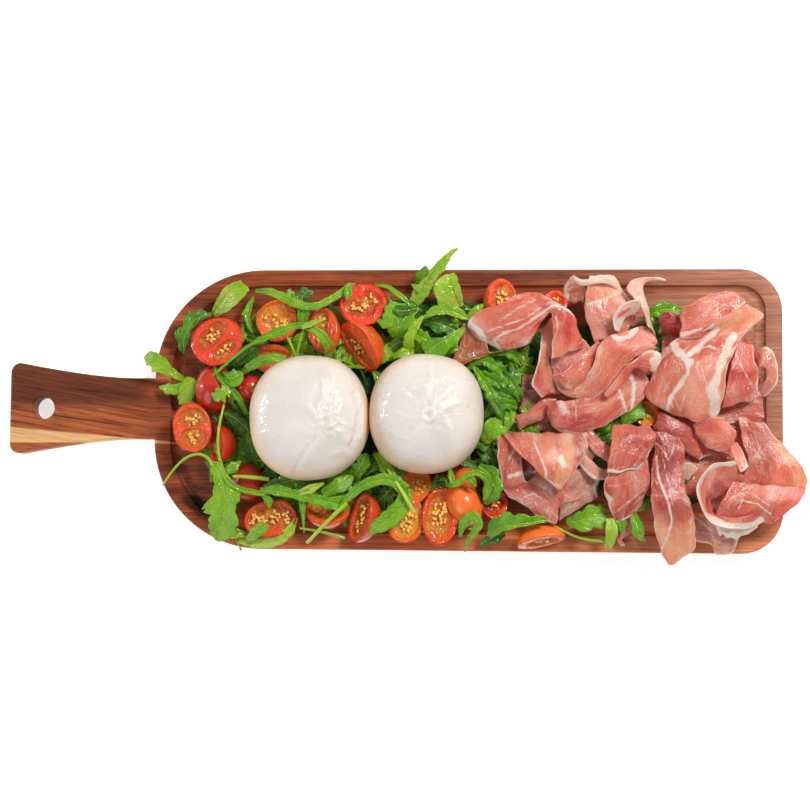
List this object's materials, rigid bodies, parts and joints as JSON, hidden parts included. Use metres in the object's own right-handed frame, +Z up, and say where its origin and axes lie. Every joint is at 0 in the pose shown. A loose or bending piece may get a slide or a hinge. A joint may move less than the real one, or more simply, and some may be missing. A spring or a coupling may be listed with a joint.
{
  "type": "burrata platter",
  "caption": "Wooden paddle board with burrata cheeses on rocket leaves, with halved cherry tomatoes and folded slices of cured ham.",
  "frame": {"origin": "underside of the board, under the middle of its length and width", "axes": "+Z up, +X along the board away from its handle, +Y across it"},
  "size_m": [0.4904, 0.1813, 0.0665],
  "materials": {
    "board": "oiled dark wood, satin",
    "burrata": "moist cream-white cheese skin",
    "tomato": "wet red cut flesh and smooth skin",
    "ham": "moist pink meat with cream fat",
    "leaf": "fresh green leaf, satin"
  },
  "bodies": {
    "root": {"board": "board", "burrata_left": "burrata", "burrata_right": "burrata", "tomato_01": "tomato", "tomato_02": "tomato", "tomato_03": "tomato", "tomato_04": "tomato", "tomato_05": "tomato", "tomato_06": "tomato", "tomato_07": "tomato", "tomato_08": "tomato", "tomato_09": "tomato", "tomato_10": "tomato", "tomato_11": "tomato", "tomato_12": "tomato", "tomato_13": "tomato", "tomato_14": "tomato", "tomato_15": "tomato", "tomato_16": "tomato", "tomato_17": "tomato", "tomato_18": "tomato", "tomato_19": "tomato", "tomato_20": "tomato", "tomato_21": "tomato", "tomato_22": "tomato", "tomato_23": "tomato", "tomato_24": "tomato", "ham_01": "ham", "ham_02": "ham", "ham_03": "ham", "ham_04": "ham", "ham_05": "ham", "ham_06": "ham", "ham_07": "ham", "ham_08": "ham", "ham_09": "ham", "ham_10": "ham", "ham_11": "ham", "ham_12": "ham", "ham_13": "ham", "ham_14": "ham", "ham_15": "ham", "ham_16": "ham", "ham_17": "ham", "ham_18": "ham", "ham_19": "ham", "ham_20": "ham", "ham_21": "ham", "ham_22": "ham", "ham_23": "ham", "ham_24": "ham", "ham_25": "ham", "ham_26": "ham", "ham_27": "ham", "ham_28": "ham", "ham_29": "ham", "ham_30": "ham", "ham_31": "ham", "ham_32": "ham", "leaf_heap": "leaf"}
  },
  "joints": []
}
